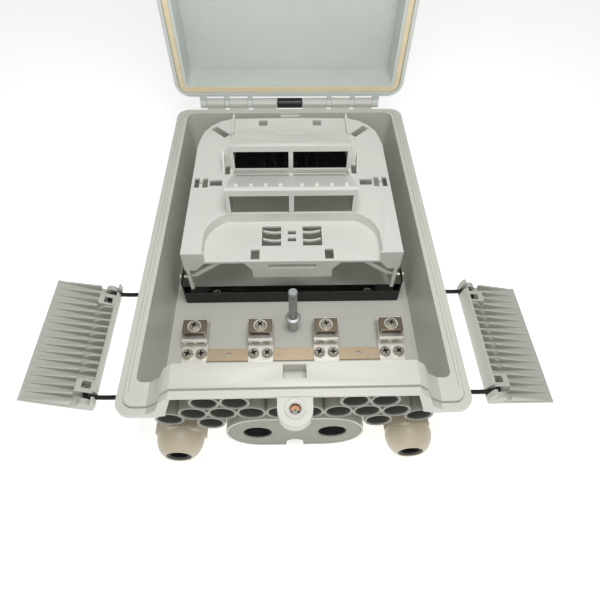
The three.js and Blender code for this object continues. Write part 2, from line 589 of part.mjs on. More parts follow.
function adapterTray() {
  const half = deckHalf();
  const deck = prismZ(outline([...half, ...mirrored(half).slice(1)]), DECK_Z - TRAY_T, DECK_Z);
  const recess = recessHalf();
  const openFront = [...recess, ...mirrored(recess)];
  const frontCut = prismZ(outline(openFront), DECK_Z - 5, DECK_Z + 5);
  const wallOuter = [...recess.map(([x, y]) => [x + 2, y]), ...mirrored(recess).map(([x, y]) => [x - 2, y])];
  const tubWall = prismZ(outline(wallOuter), RECESS_Z - TRAY_T, DECK_Z);
  const pastFront = openFront.map(([x, y]) => [x, y === TRAY_NEAR_Y ? y - 1 : y]);
  const tubHollow = prismZ(outline(pastFront), RECESS_Z, DECK_Z + 1);
  const rowBay = block(-ROW_HALF + 2, ROW_HALF - 2, ROW_Y[0] + TRAY_T, 126, RECESS_Z - 6, DECK_Z + 1);

  const wingSkirts = blocksBothSides(TRAY_HALF - 2, TRAY_HALF, TRAY_NEAR_Y, 104, 56, DECK_Z);
  const pivotPlates = blocksBothSides(87.5, 90.5, TRAY_NEAR_Y, -19, TRAY_PIVOT.z - 6, DECK_Z);
  const wingPanels = onBothSides((side) => prismY(outline([
    [side * TRAY_HALF, DECK_Z], [side * 73, DECK_Z], [side * 73, 60], [side * 82, 50], [side * TRAY_HALF, 50],
  ]), TRAY_NEAR_Y, TRAY_NEAR_Y + 2));
  const braces = onBothSides((side) => prismY(outline([
    [side * 88.5, 40], [side * 82.5, 40], [side * 57, 59], [side * 63, 59],
  ]), TRAY_NEAR_Y + 2, TRAY_NEAR_Y + 5));
  const tab = cut(
    prismY(outline([[-42, RECESS_Z - 1], [42, RECESS_Z - 1], [34, 50], [34, 40], [-34, 40], [-34, 50]]),
      TRAY_NEAR_Y, TRAY_NEAR_Y + 2.2),
    block(-20, 20, TRAY_NEAR_Y - 1, TRAY_NEAR_Y + 3, 52, 57));
  const rib = blocksBothSides(57, 59, 117, 150, DECK_Z - 1, DECK_Z + 5);
  const guide = onBothSides((side) => prismX(
    outline([[62, DECK_Z - 1], [80, DECK_Z - 1], [80, DECK_Z], [76, 86], [66, 74]]),
    Math.min(side * 62.2, side * 63.8), Math.max(side * 62.2, side * 63.8)));
  const keepers = [];
  for (const side of [-1, 1]) {
    for (const step of [0, 1, 2, 3]) {
      const x = side * (9 + step * 12.6);
      keepers.push(block(x - 1.5, x + 1.5, 16, 19.5, 88, 95.5));
    }
  }

  const coverFall = (ROW_TOP_Z - DECK_Z) / (COVER_FAR_Y - ROW_Y[1] - TRAY_T - 2);
  const onCover = (y, lift) => [y, DECK_Z + (COVER_FAR_Y - y) * coverFall + lift];
  const labelSide = outline([onCover(108, -0.8), onCover(119, -0.8), onCover(119, 3), onCover(108, 3)]);
  const labelRecess = prismX(labelSide, -13, 13);
  const rowGap = blocksBothSides(WINDOW.divider / 2, 53,
    ROW_Y[1] - 7, ROW_Y[1] - 0.6, SHELF_Z - 5, SHELF_Z + 1);
  const rows = cut(prismX(stairSection(), -ROW_HALF, ROW_HALF), rowWindows(ROW_Y[0]), rowWindows(ROW_Y[1]),
    labelRecess, rowGap);
  const cheeks = onBothSides((side) => {
    const shift = side > 0 ? 0 : -2 * ROW_HALF + 2;
    const pair = join(cheek(ROW_Y[0], 60, RECESS_Z), cheek(ROW_Y[1], 127, DECK_Z - TRAY_T));
    return pair.translate([shift, 0, 0]);
  });
  const floor = cut(join(cut(deck, frontCut), tubWall), tubHollow, rowBay);
  const pierced = cut(join(floor, rib, guide), ...[-1, 1].map(sideSlots), ...[-1, 1].map(frontSlots),
    block(-3.6, 3.6, -15, -10.6, 55, 66), block(-3.6, 3.6, -6.8, -2.4, 55, 66));
  const whole = join(pierced, rows, cheeks, wingSkirts, pivotPlates, wingPanels, braces, tab,
    ...[-1, 1].map(fingers), ...keepers);
  return cut(whole, rodX(TRAY_PIVOT.y, TRAY_PIVOT.z, TRAY_PIVOT.holeRadius, -100, 100, 8));
}

function spliceCassette() {
  const plate = block(-55.4, 55.4, 72, 118, 60.5, 63.5);
  const combs = [];
  for (let i = 0; i < 6; i += 1) {
    const x = -25 + i * 10;
    combs.push(block(x - 1.2, x + 1.2, 76, 104, 63, 72));
  }
  return join(plate, ...combs);
}

// ---------- lid, drawn closed over the base ----------
function ringZ(halfX, y0, y1, radius, width, z0, z1) {
  return cut(
    prismZ(roundedRect(halfX, y0, y1, radius), z0, z1),
    prismZ(roundedRect(halfX - width, y0 + width, y1 - width, Math.max(radius - width, 3)), z0 - 1, z1 + 1));
}

function lidShell() {
  const bodyX = OUTER_X;
  const nearY = -HALF_L + 6.5;
  const farY = LID_FAR_Y - 6.5;
  const skirt = prismZ(roundedRect(bodyX, nearY, farY, 9), LID_RIM_Z, LID_TOP_Z);
  const flange = prismZ(roundedRect(HALF_W, -HALF_L, LID_FAR_Y, 10, 15), LID_RIM_Z, LID_RIM_Z + FLANGE_T);
  const archFlange = prismY(arch(HOOD_FOOT_X + 2, RIM_Z + LID_GAP, LID_GAP + FLANGE_T), -HALF_L, nearY + 1);
  const inside = prismZ(roundedRect(INNER_X - 0.4, nearY + LID_SKIN, farY - LID_SKIN, 3, 7),
    LID_RIM_Z - 1, LID_TOP_Z - LID_SKIN);
  const groove = ringZ(HALF_W - LID_LIP, -HALF_L + LID_LIP, LID_FAR_Y - LID_LIP, 9, LID_GROOVE,
    LID_RIM_Z - 1, RIM_Z + TONGUE_H + LID_GAP);
  const gasketSeat = ringZ(HALF_W - LID_LIP, -HALF_L + LID_LIP, LID_FAR_Y - LID_LIP, 9, GASKET_WIDTH + GAP,
    LID_RIM_Z - 1, LID_RIM_Z + 3.5);
  const hoodRoom = prismY(arch(HOOD_FOOT_X + 2, RIM_Z - 10, TONGUE_H + LID_GAP),
    -HALF_L - 1, NEAR_INNER_Y + 2);
  const lug = join(
    rodZ(0, LUG.y, LUG.radius, 96.6, 102.6, 20),
    block(-LUG.radius, LUG.radius, LUG.y, nearY + 1, 96.6, 102.6));
  const knuckles = [];
  for (const [x0, x1] of LID_KNUCKLES) {
    for (const [a, b] of [[x0, x1], [-x1, -x0]]) {
      knuckles.push(rodX(HINGE.y, HINGE.z, HINGE.radius, a, b, 10));
      knuckles.push(block(a, b, LID_FAR_Y - 2, HINGE.y + 1, LID_RIM_Z, LID_RIM_Z + FLANGE_T));
    }
  }
  const hingeBore = rodX(HINGE.y, HINGE.z, HINGE.boreRadius, -100, 100, 6);
  const shell = cut(join(skirt, flange, archFlange), inside, groove, gasketSeat, hoodRoom);
  return cut(join(shell, lug, ...knuckles), hingeBore, rodZ(0, LUG.y, 3.4, 90, 110));
}

function lidGasket() {
  const ring = ringZ(HALF_W - LID_LIP - 0.15, -HALF_L + LID_LIP + 0.15, LID_FAR_Y - LID_LIP - 0.15, 9,
    GASKET_WIDTH, LID_RIM_Z + 1.9, LID_RIM_Z + 3.2);
  const gate = block(-HOOD_FOOT_X - 1, HOOD_FOOT_X + 1, -HALF_L, -HALF_L + 20, RIM_Z, 80);
  return cut(ring, gate);
}

function lockScrew() {
  return join(
    rodZ(0, LUG.y, 6, 102.6 + GAP, 108),
    rodZ(0, LUG.y, 2.8, 86.5, 103.5));
}

// ---------- hinge ----------
function hingePin(side) {
  return rodX(HINGE.y, HINGE.z, HINGE.pinRadius, ...span(side * 9, side * 95.8), 6);
}

function hingeRetainer() {
  return cut(
    rodX(HINGE.y, HINGE.z, HINGE.radius + 0.2, -RETAINER_HALF, RETAINER_HALF, 16),
    rodX(HINGE.y, HINGE.z, HINGE.boreRadius, 8.6, 20, 8),
    rodX(HINGE.y, HINGE.z, HINGE.boreRadius, -20, -8.6, 8));
}

// ---------- side latches ----------
// Drawn for the right side about the link pivot, arms reaching out along +X.
function wireLink(end) {
  const y = end * LINK_ARM_Y;
  const route = new THREE.CatmullRomCurve3([
    new THREE.Vector3(0, y, 0), new THREE.Vector3(9, y, -4.6), new THREE.Vector3(24, y, -8),
    new THREE.Vector3(40, y, -8), new THREE.Vector3(LEVER_PIVOT.x, y, LEVER_PIVOT.z),
  ]);
  const section = new THREE.Shape();
  section.absarc(0, 0, LINK_R, 0, 2 * Math.PI);
  const arm = solid(new THREE.ExtrudeGeometry(section, { steps: 6, extrudePath: route, curveSegments: 2 }));
  const inward = y - end * LINK_STUB;
  const stub = (x, z) => join(
    rodY(x, z, LINK_R, ...span(y, inward), 6),
    solid(new THREE.SphereGeometry(LINK_R, 6, 4).translate(x, y, z)));
  return join(arm, stub(0, 0), stub(LEVER_PIVOT.x, LEVER_PIVOT.z));
}

// Lever section in (outward, up) with its smooth back at height 0 and the pivot above outward = 0.
function leverSkin() {
  const shape = new THREE.Shape();
  const { width, ridgeHeight, skin } = LEVER;
  shape.moveTo(width, 0);
  shape.lineTo(width, 1.2);
  shape.lineTo(0, skin);
  shape.quadraticCurveTo(-4.6, skin, -4.6, 9);
  shape.lineTo(-4.6, ridgeHeight);
  shape.lineTo(-6.6, ridgeHeight);
  shape.quadraticCurveTo(-9.6, 12, -9.6, 5);
  shape.quadraticCurveTo(-9.6, 0, -5, 0);
  return shape;
}

// A blade rib is a low wedge; a full rib goes on past the wedge's end and arches up to the ridge.
function bladeRib() {
  return outline([[BLADE.end, 1], [BLADE.end, BLADE.height], [LEVER.width - 2, 1.6], [LEVER.width - 2, 0.6]]);
}

function leverRib() {
  const shape = new THREE.Shape();
  shape.moveTo(-5, 1);
  shape.lineTo(-5, BLADE.archTop);
  shape.bezierCurveTo(2.5, BLADE.archTop, 5.5, BLADE.archTop - 3, BLADE.end - 1, BLADE.archFoot);
  shape.lineTo(BLADE.end, BLADE.height);
  shape.lineTo(LEVER.width - 2, 1.6);
  shape.lineTo(LEVER.width - 2, 0.6);
  return shape;
}

// The wire's two ends run in a square frame near each end of the lever, with a slot beside it for the arm.
function lever() {
  const { halfY, ribs, pivotHeight } = LEVER;
  const bothEnds = (make) => [-1, 1].map((end) => make((a, b) => span(end * a, end * b)));
  const knobs = bothEnds((at) => join(
    rodY(-0.5, 7.2, 5.2, ...at(53.2, halfY), 14), block(-5, BLADE.end, ...at(53.2, halfY), 1, 4)));
  const frames = bothEnds((at) => block(-5, BLADE.end, ...at(36.6, 48.2), 1, BLADE.archTop));
  const slots = bothEnds((at) => block(-12, 3, ...at(48.4, 53), 3, 20));
  const windows = bothEnds((at) => block(-2.6, 4.4, ...at(38.6, 44.6), 1.4, 20));
  const bores = bothEnds((at) => rodY(0, pivotHeight, LINK_BORE_R, ...at(38, halfY - 4), 8));

  const pitch = (2 * halfY - 3) / (ribs - 1);
  const fins = [];
  for (let i = 0; i < ribs; i += 1) {
    const y = -halfY + 1.5 + i * pitch;
    const profile = Math.abs(y) < 36 ? leverRib() : bladeRib();
    fins.push(prismY(profile, y - 0.8, y + 0.8, 4));
  }
  const drawn = join(prismY(leverSkin(), -halfY, halfY), ...knobs, ...frames, ...fins);
  return cut(drawn, ...slots, ...windows, ...bores).translate([0, 0, -pivotHeight]);
}

// ---------- assembly ----------
const box = new THREE.Group();

function fixedParts() {
  box.add(part('base_shell', baseShell(), BODY_GREY()));
  box.add(part('drop_ports_left', dropPorts(-1), PORT_GREY()));
  box.add(part('drop_ports_right', dropPorts(1), PORT_GREY()));
  box.add(part('cable_port_collar', cablePortCollar(), BODY_GREY()));
  box.add(part('cable_port_seal', cablePortSeal(), SEAL_GREY()));
  box.add(part('lug_insert', lugInsert(), COPPER()));
  for (const [label, side] of [['left', -1], ['right', 1]]) {
    const gland = glandParts(side);
    box.add(part(`gland_body_${label}`, gland.body, GLAND_IVORY()));
    box.add(part(`gland_cap_${label}`, gland.cap, GLAND_IVORY()));
    box.add(part(`gland_seal_${label}`, gland.seal, BLACK_PLASTIC()));
    box.add(part(`gland_nut_${label}`, gland.nut, GLAND_IVORY()));
    const bracketScrew = screwDown(side * 70.5, -30, BRACKET.floorZ + BRACKET.sheet, STRIP_Z);
    box.add(part(`bracket_screw_${label}`, bracketScrew, BRIGHT_STEEL()));
    box.add(part(`tray_pin_${label}`, trayPin(side), BRIGHT_STEEL()));
    box.add(part(`hinge_pin_${label}`, hingePin(side), BRIGHT_STEEL()));
  }
  box.add(part('tray_bracket', trayBracket(), DARK_STEEL()));
  box.add(part('hinge_retainer', hingeRetainer(), BLACK_PLASTIC()));
  box.add(part('fixing_strip', fixingStrip(), TINNED_BRASS()));
  box.add(part('anchor_post', anchorPost(), BRIGHT_STEEL()));
  const postScrew = rodZ(POST.x, POST.y, 3.2, POST.topZ + GAP, POST.topZ + 3);
  box.add(part('anchor_post_screw', postScrew, BRIGHT_STEEL()));
  CLAMP_X.forEach((x, index) => {
    const number = index + 1;
    box.add(part(`clamp_foot_${number}`, clampFoot(x), BRIGHT_STEEL()));
    box.add(part(`clamp_cap_${number}`, clampCap(x), BRIGHT_STEEL()));
    box.add(part(`clamp_cap_screw_${number}`, screwDown(x, CLAMP_SCREW_Y, 20, 9), BRIGHT_STEEL()));
    for (const [tag, side] of [['a', -1], ['b', 1]]) {
      const footScrew = screwDown(x + side * FOOT_SCREW_SPREAD, FOOT_SCREW_Y, FOOT_Z + CLAMP_SHEET, STRIP_Z);
      box.add(part(`clamp_foot_screw_${number}${tag}`, footScrew, BRIGHT_STEEL()));
    }
  });
}

function trayParts() {
  box.add(part('adapter_tray', adapterTray(), TRAY_GREY()));
  box.add(part('splice_cassette', spliceCassette(), BLACK_PLASTIC()));
}

function lidParts() {
  const lid = new THREE.Group();
  lid.position.set(0, HINGE.y, HINGE.z);
  lid.rotation.x = -THREE.MathUtils.degToRad(LID_OPEN_DEG);
  for (const mesh of [
    part('lid_shell', lidShell(), BODY_GREY()),
    part('lid_gasket', lidGasket(), CREAM_FOAM()),
    part('lid_lock_screw', lockScrew(), BRIGHT_STEEL()),
  ]) {
    mesh.position.set(0, -HINGE.y, -HINGE.z);
    lid.add(mesh);
  }
  box.add(lid);
}

function latchParts() {
  const rests = [
    ['left', Math.PI, LEFT_LINK_RAISE_DEG, LEFT_LEVER_TIP_DEG],
    ['right', 0, 0, 0],
  ];
  for (const [label, turn, raiseDeg, tipDeg] of rests) {
    const latch = new THREE.Group();
    latch.position.set(0, LATCH_Y, 0);
    latch.rotation.z = turn;
    const link = new THREE.Group();
    link.position.set(LINK_PIVOT.x, 0, LINK_PIVOT.z);
    link.rotation.y = -THREE.MathUtils.degToRad(raiseDeg);
    link.add(part(`wire_link_${label}_near`, wireLink(turn ? 1 : -1), BLACK_WIRE()));
    link.add(part(`wire_link_${label}_far`, wireLink(turn ? -1 : 1), BLACK_WIRE()));
    const leverMesh = part(`latch_lever_${label}`, lever(), BODY_GREY());
    leverMesh.position.set(LEVER_PIVOT.x, 0, LEVER_PIVOT.z);
    leverMesh.rotation.y = -THREE.MathUtils.degToRad(tipDeg);
    link.add(leverMesh);
    latch.add(link);
    box.add(latch);
  }
}

fixedParts();
trayParts();
lidParts();
latchParts();

export default box;
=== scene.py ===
"""The looks of a wall-mounted fibre termination box that lies open on its back on a pale floor."""

import json
import math

import bmesh
import bpy
from mathutils import Matrix, Vector

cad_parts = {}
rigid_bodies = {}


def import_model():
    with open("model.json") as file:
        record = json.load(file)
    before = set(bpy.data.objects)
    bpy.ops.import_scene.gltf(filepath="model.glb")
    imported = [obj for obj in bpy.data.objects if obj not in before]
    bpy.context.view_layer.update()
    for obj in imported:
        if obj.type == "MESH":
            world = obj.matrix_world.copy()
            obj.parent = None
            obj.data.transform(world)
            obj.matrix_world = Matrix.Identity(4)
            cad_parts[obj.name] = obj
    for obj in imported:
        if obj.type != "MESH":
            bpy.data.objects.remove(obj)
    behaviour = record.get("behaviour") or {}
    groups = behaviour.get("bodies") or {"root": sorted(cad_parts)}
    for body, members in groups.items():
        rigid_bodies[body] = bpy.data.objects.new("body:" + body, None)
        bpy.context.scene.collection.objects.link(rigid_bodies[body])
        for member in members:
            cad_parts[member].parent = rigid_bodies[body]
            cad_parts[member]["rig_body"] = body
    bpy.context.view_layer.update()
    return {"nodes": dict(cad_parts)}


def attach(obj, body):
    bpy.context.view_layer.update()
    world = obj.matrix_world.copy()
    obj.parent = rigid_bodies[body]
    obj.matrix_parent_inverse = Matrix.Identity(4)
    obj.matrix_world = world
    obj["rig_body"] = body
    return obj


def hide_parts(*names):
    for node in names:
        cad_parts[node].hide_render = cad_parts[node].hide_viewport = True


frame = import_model()
nodes = frame["nodes"]


# ---------------------------------------------------------------- places in the CAD frame, in mm

MM = 0.001
SIDES = (("left", -1), ("right", 1))
ALONG_Y, ALONG_Z = (0, 1, 0), (0, 0, 1)

PORT_PITCH, PORT_RISE, PORT_ROW_Z = 19.3, 16.7, 63.8
LOW_OUTER_PORT = (84.6, 55.1)
PORT_WALL_Y = -153.6
GLAND_X, GLAND_MOUTH_Y, GLAND_Z = 82.5, -187, 25
CABLE_HOLE_X, CABLE_HOLE_Y, CABLE_HOLE_Z = 27.1, -157.6, 26.5
LUG_TOP = (0, -180.2, 92)
CLAMP_X = (-84.5, -28.2, 28.2, 84.5)
SADDLE_SCREW_Y, SADDLE_TOP = -74.3, 20
FOOT_SCREW_X, FOOT_SCREW_Y, FOOT_TOP = 5.8, -94.6, 6.9
BRACKET_SCREW_X, BRACKET_SCREW_Y, BRACKET_TOP = 70.5, -30, 5.1
POST_FOOT = (0, -66.8, 0)
LINK_X, LINK_Y, LINK_Z = 116.5, -83, 16.5
LINK_RADIUS = 1.95


def mm(*values):
    """A place given in millimetres."""
    return Vector(values) * MM


# ---------------------------------------------------------------- finishes

def link(tree, a, b):
    """Joins output a to input b."""
    tree.links.new(a, b)


def feed(tree, socket, value):
    """Gives an input a fixed value, or joins another node's output to it."""
    if isinstance(value, (int, float, tuple)):
        socket.default_value = value
    else:
        link(tree, value, socket)


def new_group(name, inputs, outputs):
    """An empty shader group with its named sockets: (name, socket type, default)."""
    group = bpy.data.node_groups.new(name, "ShaderNodeTree")
    for label, kind, value in inputs:
        socket = group.interface.new_socket(label, in_out="INPUT", socket_type=kind)
        socket.default_value = value
    for label, kind in outputs:
        group.interface.new_socket(label, in_out="OUTPUT", socket_type=kind)
    return group, group.nodes.new("NodeGroupInput"), group.nodes.new("NodeGroupOutput")


def maths(tree, operation, a, b, clamp=False):
    """The outcome of one sum on two values."""
    node = tree.nodes.new("ShaderNodeMath")
    node.operation = operation
    node.use_clamp = clamp
    feed(tree, node.inputs[0], a)
    feed(tree, node.inputs[1], b)
    return node.outputs[0]


def mix_colour(tree, factor, a, b):
    """Colour a where the factor is 0, colour b where it is 1."""
    node = tree.nodes.new("ShaderNodeMix")
    node.data_type = "RGBA"
    feed(tree, node.inputs["Factor"], factor)
    feed(tree, node.inputs[6], a)
    feed(tree, node.inputs[7], b)
    return node.outputs[2]


def noise(tree, where, scale, detail=3.0, rough=0.5):
    """Cloudy values from 0 to 1 over the surface."""
    node = tree.nodes.new("ShaderNodeTexNoise")
    node.inputs["Detail"].default_value = detail
    node.inputs["Roughness"].default_value = rough
    feed(tree, node.inputs["Scale"], scale)
    link(tree, where, node.inputs["Vector"])
    return node.outputs["Fac"]


def object_place(tree):
    """Where a point lies on the part."""
    return tree.nodes.new("ShaderNodeTexCoord").outputs["Object"]


def edge_mask(tree, radius, gain):
    """0 on the flats and up to 1 where the surface turns within the radius."""
    rounded = tree.nodes.new("ShaderNodeBevel")
    rounded.samples = 4
    rounded.inputs["Radius"].default_value = radius
    facing = tree.nodes.new("ShaderNodeVectorMath")
    facing.operation = "DOT_PRODUCT"
    link(tree, rounded.outputs["Normal"], facing.inputs[0])
    link(tree, tree.nodes.new("ShaderNodeNewGeometry").outputs["Normal"], facing.inputs[1])
    return maths(tree, "MULTIPLY", maths(tree, "SUBTRACT", 1.0, facing.outputs["Value"], True), gain, True)


def build_moulded_group():
    """Moulded plastic: cloudy tone, fine spark-eroded grain, and a painted highlight that lightens every edge and
    crease.
    """
    grain_swing, edge_polish = 0.18, 0.12
    g, given, out = new_group("moulded_surface", [
        ("Colour", "NodeSocketColor", (0.8, 0.8, 0.8, 1)),
        ("Deep Colour", "NodeSocketColor", (0.7, 0.7, 0.7, 1)),
        ("Highlight Colour", "NodeSocketColor", (0.95, 0.95, 0.95, 1)),
        ("Cloud Scale", "NodeSocketFloat", 14.0),
        ("Grain Scale", "NodeSocketFloat", 2600.0),
        ("Roughness", "NodeSocketFloat", 0.5),
        ("Edge", "NodeSocketFloat", 0.6),
    ], [("Colour", "NodeSocketColor"), ("Roughness", "NodeSocketFloat"), ("Height", "NodeSocketFloat")])
    where = object_place(g)
    cloud = noise(g, where, given.outputs["Cloud Scale"], 4.0)
    grain = noise(g, where, given.outputs["Grain Scale"], 2.0)
    edge = edge_mask(g, radius=0.0008, gain=4.0)
    # Painted highlight: where the bevel finds an edge or a crease, the colour turns to the lighter highlight
    # colour.
    highlight_mask = maths(g, "MULTIPLY", edge, given.outputs["Edge"], True)
    tone = mix_colour(g, cloud, given.outputs["Deep Colour"], given.outputs["Colour"])
    link(g, mix_colour(g, highlight_mask, tone, given.outputs["Highlight Colour"]), out.inputs["Colour"])
    swing = maths(g, "MULTIPLY", maths(g, "SUBTRACT", grain, 0.5), grain_swing)
    rough = maths(g, "ADD", given.outputs["Roughness"], swing)
    link(g, maths(g, "SUBTRACT", rough, maths(g, "MULTIPLY", edge, edge_polish), True), out.inputs["Roughness"])
    link(g, grain, out.inputs["Height"])
    return g


def build_metal_group():
    """Rolled or plated metal: streaks along one axis, and stains that are duller and darker."""
    streak_scale, stain_scale, stain_dulling = (30.0, 1600.0, 1600.0), 90.0, 0.3
    g, given, out = new_group("rolled_surface", [
        ("Colour", "NodeSocketColor", (0.8, 0.8, 0.8, 1)),
        ("Stain Colour", "NodeSocketColor", (0.5, 0.45, 0.4, 1)),
        ("Streak", "NodeSocketFloat", 0.2),
        ("Stain", "NodeSocketFloat", 0.3),
        ("Roughness", "NodeSocketFloat", 0.25),
    ], [("Colour", "NodeSocketColor"), ("Roughness", "NodeSocketFloat"), ("Height", "NodeSocketFloat")])
    where = object_place(g)
    stretch = g.nodes.new("ShaderNodeMapping")
    stretch.inputs["Scale"].default_value = streak_scale
    link(g, where, stretch.inputs["Vector"])
    streaks = noise(g, stretch.outputs["Vector"], 1.0, 2.0)
    stain = noise(g, where, stain_scale, 4.0, 0.6)
    mask = maths(g, "MULTIPLY", maths(g, "SUBTRACT", stain, 0.4, True), given.outputs["Stain"], True)
    link(g, mix_colour(g, mask, given.outputs["Colour"], given.outputs["Stain Colour"]), out.inputs["Colour"])
    swing = maths(g, "MULTIPLY", maths(g, "SUBTRACT", streaks, 0.5), given.outputs["Streak"])
    rough = maths(g, "ADD", given.outputs["Roughness"], swing)
    link(g, maths(g, "ADD", rough, maths(g, "MULTIPLY", mask, stain_dulling), True), out.inputs["Roughness"])
    link(g, streaks, out.inputs["Height"])
    return g


def build_foam_group():
    """Closed-cell foam: packed small cells and a slight dirty tone."""
    dirt_scale = 60.0
    g, given, out = new_group("foam_surface", [
        ("Colour", "NodeSocketColor", (0.8, 0.7, 0.5, 1)),
        ("Cell Colour", "NodeSocketColor", (0.6, 0.5, 0.4, 1)),
        ("Cell Scale", "NodeSocketFloat", 1200.0),
    ], [("Colour", "NodeSocketColor"), ("Height", "NodeSocketFloat")])
    where = object_place(g)
    cells = g.nodes.new("ShaderNodeTexVoronoi")
    link(g, where, cells.inputs["Vector"])
    link(g, given.outputs["Cell Scale"], cells.inputs["Scale"])
    dirt = noise(g, where, dirt_scale, 3.0)
    shade = maths(g, "MULTIPLY", cells.outputs["Distance"], maths(g, "ADD", dirt, 0.2), True)
    link(g, mix_colour(g, shade, given.outputs["Colour"], given.outputs["Cell Colour"]), out.inputs["Colour"])
    link(g, cells.outputs["Distance"], out.inputs["Height"])
    return g


MOULDED = build_moulded_group()
ROLLED = build_metal_group()
FOAM = build_foam_group()


def start_material(name):
    """A new material with its node tree and its shader."""
    material = bpy.data.materials.new(name)
    material.use_nodes = True
    return material, material.node_tree, material.node_tree.nodes["Principled BSDF"]


def grouped_material(name, group, settings, depth, strength):
    """A material whose colour, roughness and small bumps come from a shader group."""
    material, tree, shader = start_material(name)
    surface = tree.nodes.new("ShaderNodeGroup")
    surface.node_tree = group
    for label, value in settings.items():
        surface.inputs[label].default_value = value
    link(tree, surface.outputs["Colour"], shader.inputs["Base Color"])
    if "Roughness" in surface.outputs:
        link(tree, surface.outputs["Roughness"], shader.inputs["Roughness"])
    bump = tree.nodes.new("ShaderNodeBump")
    bump.inputs["Distance"].default_value = depth
    bump.inputs["Strength"].default_value = strength
    link(tree, surface.outputs["Height"], bump.inputs["Height"])
    link(tree, bump.outputs["Normal"], shader.inputs["Normal"])
    return material, shader


def linear(code):
    """A screen colour code as linear RGBA."""
    out = []
    for i in (1, 3, 5):
        v = int(code[i:i + 2], 16) / 255
        out.append(v / 12.92 if v <= 0.04045 else ((v + 0.055) / 1.055) ** 2.4)
    return tuple(out) + (1.0,)


def moulded(name, colour, deep, edge, roughness, grain=2600.0, edge_highlight=0.6, depth=0.00006):
    """Plastic or rubber out of a mould, with its edge colour painted on edges and creases as a highlight."""
    return grouped_material(name, MOULDED, {
        "Colour": linear(colour), "Deep Colour": linear(deep), "Highlight Colour": linear(edge),
        "Cloud Scale": 14.0, "Grain Scale": grain, "Roughness": roughness, "Edge": edge_highlight,
    }, depth, 0.5)[0]


def rolled(name, colour, stain_colour, roughness, streak=0.15, stain=0.3):
    """Sheet metal, turned metal or plating."""
    material, shader = grouped_material(name, ROLLED, {
        "Colour": linear(colour), "Stain Colour": linear(stain_colour),
        "Streak": streak, "Stain": stain, "Roughness": roughness,
    }, 0.00002, 0.3)
    shader.inputs["Metallic"].default_value = 1.0
    return material


def foam(name, colour, cell):
    """Soft cut foam."""
    material, shader = grouped_material(name, FOAM, {
        "Colour": linear(colour), "Cell Colour": linear(cell),
    }, 0.0002, 0.6)
    shader.inputs["Roughness"].default_value = 0.9
    return material


# The third colour of each moulded finish is its painted edge highlight.
SHELL = moulded("shell_plastic", "#d3d3ca", "#c7c7be", "#e8e8e0", 0.38)
LID = moulded("lid_plastic", "#d0d5d0", "#c4cac6", "#e0e2dd", 0.36)
TRAY = moulded("tray_plastic", "#dfe0d9", "#d3d5ce", "#ecece6", 0.36)
LEVER = moulded("lever_plastic", "#c4c5bc", "#b8b9b0", "#dadbd3", 0.45)
PORTS = moulded("port_plastic", "#a6a69c", "#96968c", "#bdbdb3", 0.45)
# The dark grey of the port linings paints the shade inside the port bores.
PAINTED_SHADE_LINING = moulded("port_painted_shade_lining", "#62625b", "#4a4a45", "#8a8a82", 0.6)
SEAL = moulded("seal_rubber", "#a3a297", "#949388", "#b6b5aa", 0.65, grain=1500.0, edge_highlight=0.3, depth=0.0001)
# Black rubber of the gland mouths; the same colour also paints the shade inside the big port's cable holes.
BLACK_RUBBER_AND_SHADE = moulded("black_rubber_and_painted_shade", "#2b2b29", "#1d1d1c", "#4a4a46", 0.6, grain=1500.0, edge_highlight=0.3, depth=0.0001)
NYLON = moulded("gland_nylon", "#ccc2ab", "#bcb199", "#dbd2be", 0.35, edge_highlight=0.5)
BLACK = moulded("black_plastic", "#141518", "#0f1013", "#26272b", 0.4, edge_highlight=0.7)
WIRE = moulded("black_wire_coat", "#0c0c0d", "#070708", "#222224", 0.3, edge_highlight=0.4)
PLATE = rolled("bright_plate", "#f6f3ec", "#d8d0c2", 0.5, streak=0.12, stain=0.2)
NICKEL = rolled("screw_nickel", "#d2ccc0", "#8c8171", 0.3, streak=0.1, stain=0.4)
# Darker colour for the screw recesses: painted shade.
RECESS_SHADE = rolled("screw_recess_painted_shade", "#3d3831", "#26221d", 0.5, streak=0.1, stain=0.4)
ZINC = rolled("zinc_post", "#c3c7c7", "#8e9290", 0.42, streak=0.12, stain=0.3)
SADDLE = rolled("brown_nickel", "#9c907f", "#5d5145", 0.34, streak=0.12, stain=0.6)
MIRROR = rolled("mirror_steel", "#3c3c3b", "#2a2a29", 0.12, streak=0.05, stain=0.1)
TINNED = rolled("tinned_brass", "#d9c6aa", "#947758", 0.42, streak=0.25, stain=0.7)
COPPER = rolled("copper_insert", "#b98a63", "#7a5233", 0.3, streak=0.1, stain=0.4)
FOAM_STRIP = foam("cream_foam", "#ecdfc0", "#d3c19b")


# ---------------------------------------------------------------- shaping helpers

SOFT_EDGE_ANGLE = 40
MERGE_COPY, MERGE_SPUN = 0.00001, 0.0000005
FLATNESS = 0.6


def outward(bm):
    """Turns every face to look out of the piece."""
    bmesh.ops.recalc_face_normals(bm, faces=bm.faces)


def finish_piece(bm, name, material, body, smooth_below=34.0, bevel=0.0):
    """Turns a finished bmesh into a named piece that rides on a body."""
    mesh = bpy.data.meshes.new(name)
    bm.to_mesh(mesh)
    bm.free()
    for face in mesh.polygons:
        face.use_smooth = True
    mesh.set_sharp_from_angle(angle=math.radians(smooth_below))
    piece = bpy.data.objects.new(name, mesh)
    bpy.context.scene.collection.objects.link(piece)
    mesh.materials.append(material)
    if bevel:
        edge = piece.modifiers.new("soft_edges", "BEVEL")
        edge.width = bevel * MM
        edge.segments = 2
        edge.limit_method = "ANGLE"
        edge.angle_limit = math.radians(SOFT_EDGE_ANGLE)
    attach(piece, body)
    return piece


